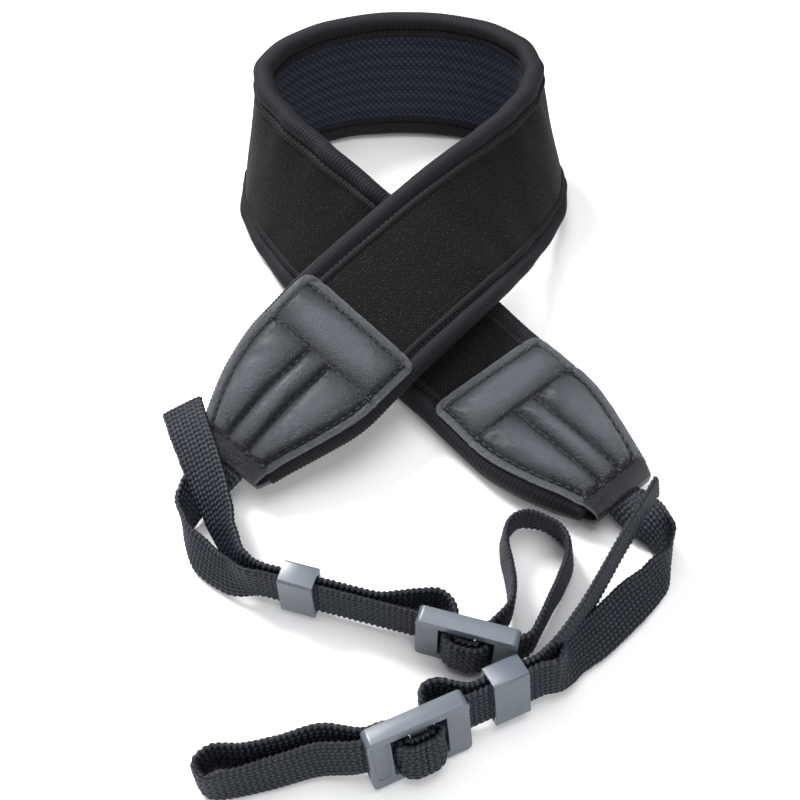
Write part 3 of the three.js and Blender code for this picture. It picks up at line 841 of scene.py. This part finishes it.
def webbing(name, strip, start):
    """A woven strip of warp bumps; its weave is counted from start, so that pieces join up."""
    length = strip.length
    steps = int(length / (WEAVE_PITCH / 4))
    distances = np.linspace(0, length, steps + 1)
    columns = WEAVE_COLUMNS * 4
    share = np.linspace(-1, 1, columns + 1)
    count = share * WEAVE_COLUMNS / 2 + WEAVE_COLUMNS / 2
    column = np.minimum(count.astype(int), WEAVE_COLUMNS - 1)
    cross = np.abs(np.sin(math.pi * count))[None, :] ** 0.6
    skew = WEAVE_STAGGER * (column % 2)[None, :]
    along = (distances[:, None] + start) / WEAVE_PITCH + 0.5
    edge = np.sqrt(np.clip(1 - np.abs(share) ** 9, 0, 1))[None, :]
    ragged = rng.normal(0, 0.04, (len(distances), 1))
    wave = 1 + 0.045 * (np.abs(np.sin(math.pi * along)) - 0.5)
    v = share[None, :] * WEBBING_WIDTH / 2 * wave + ragged * (np.abs(share) > 0.9)[None, :]
    faces, lifts = [], []
    for side in (0.0, 0.5):
        crest = np.abs(np.sin(math.pi * (along + skew + side))) ** 0.8
        lift = crest * (0.25 + 0.75 * cross)
        faces.append((WEBBING_THICKNESS / 2 - WEAVE_DEPTH + WEAVE_DEPTH * 1.5 * lift) * edge)
        lifts.append(lift)
    ring_v = np.concatenate([v, v[:, -2:0:-1]], 1)
    ring_n = np.concatenate([faces[0], -faces[1][:, -2:0:-1]], 1)
    piece = sweep(name, strip, distances, ring_v, ring_n, WEBBING, start)
    # The raised share carries the webbing's painted highlight on the crests.
    set_value(piece, "raised", np.concatenate([lifts[0], lifts[1][:, -2:0:-1]], 1))
    return piece


def sewn(end, lean):
    """Stations where a tail is sewn into the nose of its tab."""
    return [(on_tab(end, [d], [0], [0])[0], lean) for d in SEWN_DEPTHS]


def over_bar(strap, way):
    """The outer strand's rise through the window to the crown over the bar."""
    path = ((4.9, 1.6), (4.2, 2.7), (4.15, 3.7), (3.55, 4.85), (2.2, 5.65), (0.9, 5.8), (0, 5.8))
    return [strap.at(way * along, forward) for along, forward in path]


def on_bar(strap, way):
    """The inner strand's rise, close round the bar."""
    path = ((2.65, 2.4), (2.3, 3.75), (0.9, 4.25), (0, 4.25))
    return [strap.at(way * along, forward) for along, forward in path]


left_standing = route([
    *sewn("left", 172),
    free(-43.8, -29.8, 6.0, 156),
    free(-47.0, -35.0, 5.6, 116),
    free(-46.8, -42.0, 5.2, 84),
    free(-42.6, -48.4, 5.1, 66),
    free(-37.0, -53.0, 5.6, 70),
    LEFT.at(-46.5, STRAND + 0.3),
    LEFT.at(-44, STRAND),
    LEFT.at(-41.5, STRAND),
    LEFT.at(-34, STRAND),
    LEFT.at(-20, STRAND),
    LEFT.at(-12, STRAND),
    LEFT.at(-8.5, STRAND),
    LEFT.at(-6.6, STRAND + 0.1),
    *over_bar(LEFT, -1),
])
left_loop = route([
    *over_bar(LEFT, 1)[::-1],
    LEFT.at(6.6, STRAND + 0.1),
    LEFT.at(8.8, STRAND),
    free(25.8, -69.6, 7.0, 90),
    free(28.4, -65.4, 6.6, 90),
    free(31.2, -60.0, 6.0, 88),
    free(34.2, -54.4, 5.5, 84),
    free(36.4, -48.6, 5.3, 80),
    free(35.9, -43.6, 5.3, 76),
    free(31.9, -40.0, 5.3, 74),
    free(26.9, -38.9, 5.3, 78),
    free(23.4, -42.0, 5.3, 86),
    free(22.6, -47.0, 5.3, 90),
    free(23.2, -52.0, 5.4, 90),
    free(23.4, -57.4, 5.9, 90),
    free(22.2, -62.6, 6.6, 90),
    LEFT.at(4.4, -1.9),
    LEFT.at(2.8, 0.7),
    *on_bar(LEFT, 1),
])
left_free = route([
    *on_bar(LEFT, -1)[::-1],
    LEFT.at(-2.75, 0.7),
    LEFT.at(-3.2, -1.2),
    LEFT.at(-4.8, -3.9),
    LEFT.at(-7.6, -5.2),
    LEFT.at(-11.4, -4.2),
    LEFT.at(-15.2, -2.6),
    LEFT.at(-18.4, -1.3),
    LEFT.at(-21, -STRAND),
    LEFT.at(-24, -STRAND),
    LEFT.at(-34, -STRAND),
    LEFT.at(-41.5, -STRAND),
    LEFT.at(-44, -STRAND),
    LEFT.at(-46.5, -STRAND - 0.4),
    free(-33.4, -51.6, 7.6, 100),
    free(-37.0, -46.0, 8.4, 114),
    free(-39.6, -39.6, 9.6, 130),
    free(-42.4, -32.8, 11.4, 142),
    free(-45.4, -25.8, 13.2, 152),
    free(-48.4, -18.8, 14.2, 158),
    free(-50.2, -14.0, 14.4, 162),
])
right_standing = route([
    *sewn("right", 0),
    free(53.6, -38.0, 5.5, 34),
    free(57.0, -42.8, 5.5, 66),
    free(57.8, -48.0, 5.4, 98),
    free(54.2, -53.8, 4.9, 124),
    free(47.6, -59.8, 4.5, 138),
    free(41.0, -66.0, 4.6, 136),
    free(34.4, -71.8, 5.8, 124),
    RIGHT.at(-30.5, STRAND + 0.5),
    RIGHT.at(-27.5, STRAND),
    RIGHT.at(-25, STRAND),
    RIGHT.at(-19, STRAND),
    RIGHT.at(-12, STRAND),
    RIGHT.at(-8.5, STRAND),
    RIGHT.at(-6.6, STRAND + 0.1),
    *over_bar(RIGHT, -1),
])
right_loop = route([
    *over_bar(RIGHT, 1)[::-1],
    RIGHT.at(6.6, STRAND + 0.1),
    RIGHT.at(8.5, STRAND),
    RIGHT.at(12, STRAND - 0.6),
    free(-15.2, -92.6, 6.2, 104),
    free(-22.8, -94.6, 5.6, 102),
    free(-30.4, -96.6, 5.4, 98),
    free(-35.6, -97.2, 5.3, 92),
    free(-37.6, -94.2, 5.3, 90),
    free(-35.0, -91.7, 5.3, 88),
    free(-29.4, -91.9, 5.4, 82),
    free(-22.4, -90.9, 5.8, 78),
    free(-14.8, -89.1, 6.6, 76),
    RIGHT.at(9, -STRAND - 0.3),
    RIGHT.at(6.4, -STRAND - 0.1),
    RIGHT.at(4.5, -0.6),
    RIGHT.at(2.8, 0.7),
    *on_bar(RIGHT, 1),
])
right_free = route([
    *on_bar(RIGHT, -1)[::-1],
    RIGHT.at(-2.75, 0.6),
    RIGHT.at(-3.0, -1.6),
    RIGHT.at(-4.4, -4.4),
    RIGHT.at(-7.2, -4.6),
    RIGHT.at(-10.4, -2.4),
    RIGHT.at(-12.6, -1.1),
    RIGHT.at(-14.6, -STRAND),
    RIGHT.at(-19, -STRAND),
    RIGHT.at(-25, -STRAND),
    RIGHT.at(-27, -STRAND),
    RIGHT.at(-29.5, -STRAND - 0.7),
    free(33.0, -69.4, 8.6, 82),
    free(37.6, -63.2, 9.6, 84),
    free(42.0, -56.6, 11.2, 84),
    free(46.4, -50.0, 13.4, 85),
    free(50.8, -43.8, 15.8, 86),
    free(54.4, -38.6, 17.8, 86),
])


# ---------------------------------------------------------------- hardware


def moulded(name, node, width):
    """A CAD piece's own shape with its edges rounded as a moulding's are."""
    work = bmesh.new()
    work.from_mesh(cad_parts[node].data)
    bmesh.ops.remove_doubles(work, verts=work.verts, dist=1e-6)
    bmesh.ops.dissolve_limit(work, angle_limit=math.radians(2), verts=work.verts, edges=work.edges)
    mesh = bpy.data.meshes.new(name)
    work.to_mesh(mesh)
    work.free()
    mesh.materials.append(PLASTIC)
    shade_smooth(mesh)
    piece = shown(name, mesh)
    bevel = piece.modifiers.new("rounded", "BEVEL")
    bevel.width = width * MM
    bevel.segments = 3
    bevel.limit_method = "ANGLE"
    bevel.angle_limit = math.radians(35)
    bevel.harden_normals = True
    settle(piece)
    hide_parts(node)
    return piece


def mould_mark(strap, along):
    """A thin raised U on a slider's wall, where the mould's insert met it."""
    half = MARK_WIDTH / 2
    turn = np.radians(np.linspace(180, 360, 9))
    path = [(-half, MARK_TOP), (-half, MARK_BEND)]
    path += [(half * math.cos(a), MARK_FOOT + half * math.sin(a)) for a in turn]
    path += [(half, MARK_BEND), (half, MARK_TOP)]
    centre, across = strap.at(along, SLIDER_SETBACK + WALL_FRONT)
    facing = -strap.left * strap.front
    facing = facing - across * (facing @ across)
    centre = centre + across * SLIDER_RISE
    points = [centre + strap.along * x + across * y for x, y in path]
    strip = Strip(points, [facing] * len(points))
    angles = np.radians(np.arange(0, 360, 45))
    distances = np.linspace(0, strip.length, MARK_RINGS)
    v = np.tile(MARK_LINE * np.cos(angles), (MARK_RINGS, 1))
    n = np.tile(MARK_LINE * np.sin(angles), (MARK_RINGS, 1))
    piece = sweep("right_slider_mould_mark", strip, distances, v, n, PLASTIC)
    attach(piece, "right_slider")


def settle(piece):
    """Applies a piece's modifiers and keeps its name and place."""
    bpy.context.view_layer.update()
    evaluated = piece.evaluated_get(bpy.context.evaluated_depsgraph_get())
    mesh = bpy.data.meshes.new_from_object(evaluated)
    piece.modifiers.clear()
    piece.data = mesh


# ---------------------------------------------------------------- stitches


def stitch_tree():
    """Thread stitches of one length, set end to end along a sewn line."""
    tree = bpy.data.node_groups.new("stitch_line", "GeometryNodeTree")
    face = tree.interface
    face.new_socket("Geometry", in_out="INPUT", socket_type="NodeSocketGeometry")
    for label, value in (("Pitch", 0.0021), ("Stitch Length", 0.0016), ("Thread", 0.00022)):
        socket = face.new_socket(label, in_out="INPUT", socket_type="NodeSocketFloat")
        socket.default_value = value
    face.new_socket("Geometry", in_out="OUTPUT", socket_type="NodeSocketGeometry")
    made = tree.nodes.new
    link = tree.links.new
    source, end = made("NodeGroupInput"), made("NodeGroupOutput")
    curve = made("GeometryNodeMeshToCurve")
    resample = made("GeometryNodeResampleCurve")
    resample.mode = "LENGTH"
    ball = made("GeometryNodeMeshUVSphere")
    ball.inputs["Segments"].default_value = 8
    ball.inputs["Rings"].default_value = 6
    ball.inputs["Radius"].default_value = 1.0
    size = made("ShaderNodeCombineXYZ")
    half = made("ShaderNodeMath")
    half.operation = "MULTIPLY"
    half.inputs[1].default_value = 0.5
    tangent = made("GeometryNodeInputTangent")
    turn = made("FunctionNodeAlignEulerToVector")
    turn.axis = "X"
    place = made("GeometryNodeInstanceOnPoints")
    real = made("GeometryNodeRealizeInstances")
    paint = made("GeometryNodeSetMaterial")
    paint.inputs["Material"].default_value = THREAD
    link(source.outputs["Geometry"], curve.inputs["Mesh"])
    link(curve.outputs[0], resample.inputs["Curve"])
    link(source.outputs["Pitch"], resample.inputs["Length"])
    link(source.outputs["Stitch Length"], half.inputs[0])
    link(half.outputs[0], size.inputs["X"])
    link(source.outputs["Thread"], size.inputs["Y"])
    link(source.outputs["Thread"], size.inputs["Z"])
    link(tangent.outputs[0], turn.inputs["Vector"])
    link(resample.outputs[0], place.inputs["Points"])
    link(ball.outputs["Mesh"], place.inputs["Instance"])
    link(turn.outputs[0], place.inputs["Rotation"])
    link(size.outputs[0], place.inputs["Scale"])
    link(place.outputs[0], real.inputs[0])
    link(real.outputs[0], paint.inputs["Geometry"])
    link(paint.outputs[0], end.inputs[0])
    return tree


STITCHES = stitch_tree()


def input_name(tree, label):
    """The identifier that a modifier knows one of the tree's inputs by."""
    inputs = (item for item in tree.interface.items_tree if item.in_out == "INPUT")
    return next(item.identifier for item in inputs if item.name == label)


def stitches(name, lines, pitch, length, thread):
    """Stitches along several lines of points, as one plain mesh."""
    points = np.vstack(lines)
    edges, first = [], 0
    for line in lines:
        edges += [(first + i, first + i + 1) for i in range(len(line) - 1)]
        first += len(line)
    mesh = bpy.data.meshes.new(name)
    mesh.from_pydata((points * MM).tolist(), edges, [])
    piece = shown(name, mesh)
    modifier = piece.modifiers.new("stitches", "NODES")
    modifier.node_group = STITCHES
    for label, value in (("Pitch", pitch), ("Stitch Length", length), ("Thread", thread)):
        modifier[input_name(STITCHES, label)] = value * MM
    settle(piece)
    shade_smooth(piece.data)
    return piece


def tab_seams(end):
    """The sewn lines on the front of a tab, lying in the grooves that they pull."""
    far = TAB_LENGTH - SEAM_INSET
    near = NOSE_SEAM
    d_side = np.linspace(near, far - SEAM_CORNER, 80)
    seam = leather_half(d_side) - SEAM_INSET
    lines = []
    for side in (1, -1):
        lines.append((d_side, side * seam))
        lines.append((np.linspace(near, CROSS_SEAM, 50), np.full(50, side * FINGER_SEAM)))
    wide = leather_half(np.array([far - SEAM_CORNER]))[0] - SEAM_INSET
    lines.append((np.full(60, far), np.linspace(-wide, wide, 60)))
    nose = leather_half(np.array([near]))[0] - SEAM_INSET
    lines.append((np.full(30, near), np.linspace(-nose, nose, 30)))
    cross = leather_half(np.array([CROSS_SEAM]))[0] - SEAM_INSET
    lines.append((np.full(60, CROSS_SEAM), np.linspace(-cross, cross, 60)))
    middle = LEATHER_LEVEL + LEATHER_THICKNESS / 2
    lift = LEATHER_THICKNESS / 2 - STITCH_SINK
    return [on_tab(end, d, v, middle * squeeze(d) + lift) for d, v in lines]


def binding_seams(side):
    """The sewn line in the groove beside each roll, on both faces of the pad."""
    distances = np.arange(PAD_END + 1, pad.length - PAD_END - 1, 1.0)
    lines = []
    for face in (1, -1):
        inset = GROOVE_INSET + bead_wander(distances, face)
        v = side * (pad_half(distances) - inset)
        lines.append(pad.place(distances, v, np.full(len(distances), face * GROOVE_LEVEL)))
    return lines


# ---------------------------------------------------------------- the strap, piece by piece


upper_binding = edge_binding("upper_rolled_binding", 1)
lower_binding = edge_binding("lower_rolled_binding", -1)
facing = pad_face("pad_outer_knit", 1, KNIT)
lining = pad_face("pad_grip_face", -1, GRIP)
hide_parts("upper_edge_binding")
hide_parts("lower_edge_binding")
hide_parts("pad_outer_facing", "pad_neoprene_core")
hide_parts("pad_grip_lining")
for piece in (upper_binding, lower_binding, facing, lining):
    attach(piece, "strap")

for side, label in ((1, "upper"), (-1, "lower")):
    seam = stitches(f"{label}_binding_stitches", binding_seams(side), **BINDING_STITCH)
    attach(seam, "strap")

FOAMS = ("panel", "upper_finger", "middle_finger", "lower_finger")

for end in ("left", "right"):
    cover = tab_leather(end)
    inserts = [f"{end}_tab_{which}_foam" for which in FOAMS]
    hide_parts(f"{end}_tab_leather", *inserts)
    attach(cover, "strap")
    seam = stitches(f"{end}_tab_stitches", tab_seams(end), **TAB_STITCH)
    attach(seam, "strap")

TAILS = {
    "left": (LEFT, left_standing, left_loop, left_free, (-40, -11)),
    "right": (RIGHT, right_standing, right_loop, right_free, (-27, -10)),
}

for end, (strap, standing_route, loop_route, free_route, span) in TAILS.items():
    slider = moulded(f"{end}_ladder_slider", f"{end}_slider", SLIDER_EDGE)
    keeper = moulded(f"{end}_box_keeper", f"{end}_keeper", KEEPER_EDGE)
    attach(slider, f"{end}_slider")
    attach(keeper, f"{end}_keeper")
    standing = webbing(f"{end}_standing_webbing", standing_route, -standing_route.length)
    loop = webbing(f"{end}_loop_webbing", loop_route, 0.0)
    tail = webbing(f"{end}_free_webbing", free_route, loop_route.length)
    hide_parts(f"{end}_webbing")
    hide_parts(f"{end}_bar_wrap")
    still, moved = (strap.at(a, 0)[0] * MM for a in span)
    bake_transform(standing)
    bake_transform(tail)
    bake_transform(loop)

mould_mark(RIGHT, MARK_PLACE)


# ---------------------------------------------------------------- stage, light and camera


def area_light(name, place, target, size, power):
    lamp = bpy.data.lights.new(name, "AREA")
    lamp.shape = "DISK"
    lamp.size = size
    lamp.energy = power
    holder = shown(name, lamp)
    holder.location = place
    aim = Vector(target) - Vector(place)
    holder.rotation_euler = aim.to_track_quat("-Z", "Y").to_euler()


floor_corners = ((-1, -1), (1, -1), (1, 1), (-1, 1))
floor_points = [(x * FLOOR_HALF, y * FLOOR_HALF, 0) for x, y in floor_corners]
floor = new_piece("table_top", floor_points, [[0, 1, 2, 3]], table_finish())

area_light("key_back_left", (-0.42, 0.45, 0.66), (0, 0, 0.01), 0.34, 11.0)
area_light("soft_overhead", (0.0, 0.1, 0.95), (0, 0, 0), 0.9, 6.5)
area_light("soft_front", (0.2, -0.75, 0.65), (0, 0, 0), 0.6, 4.5)

world = bpy.data.worlds.new("studio")
world.use_nodes = True
world.node_tree.nodes["Background"].inputs["Color"].default_value = (0.93, 0.96, 1.0, 1)
world.node_tree.nodes["Background"].inputs["Strength"].default_value = 0.24
bpy.context.scene.world = world
bpy.context.scene.view_settings.view_transform = "Standard"

lens = bpy.data.cameras.new("camera")
lens.lens = CAMERA_LENS
lens.sensor_width = CAMERA_SENSOR
camera = shown("camera", lens)
camera.location = (np.array(CAMERA_PLACE) + SHIFT) * MM
camera.rotation_euler = (math.radians(90 - CAMERA_DOWN), 0, 0)
bpy.context.scene.camera = camera
